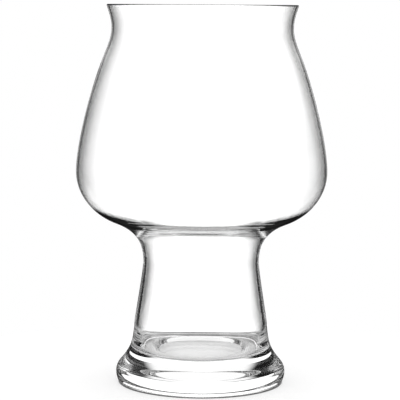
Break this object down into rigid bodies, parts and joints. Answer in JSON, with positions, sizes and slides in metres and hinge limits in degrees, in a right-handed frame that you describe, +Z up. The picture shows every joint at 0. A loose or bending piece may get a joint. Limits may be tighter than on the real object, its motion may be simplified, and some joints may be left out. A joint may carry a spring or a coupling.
{
  "type": "cider glass",
  "caption": "Clear drinking glass with a pear-shaped bowl and flared lip, drawn in to a short hollow stem on a heavy rounded foot, for cider or beer.",
  "frame": {"origin": "on the table, at the middle of the foot's rest ring", "axes": "+Z up along the axis of revolution, towards the rim; X and Y are equal"},
  "size_m": [0.0942, 0.0942, 0.142],
  "materials": {
    "clear_glass": "polished, colourless, fire-polished at the lip"
  },
  "bodies": {
    "root": {"bowl": "clear_glass", "stem": "clear_glass", "foot": "clear_glass"}
  },
  "joints": []
}
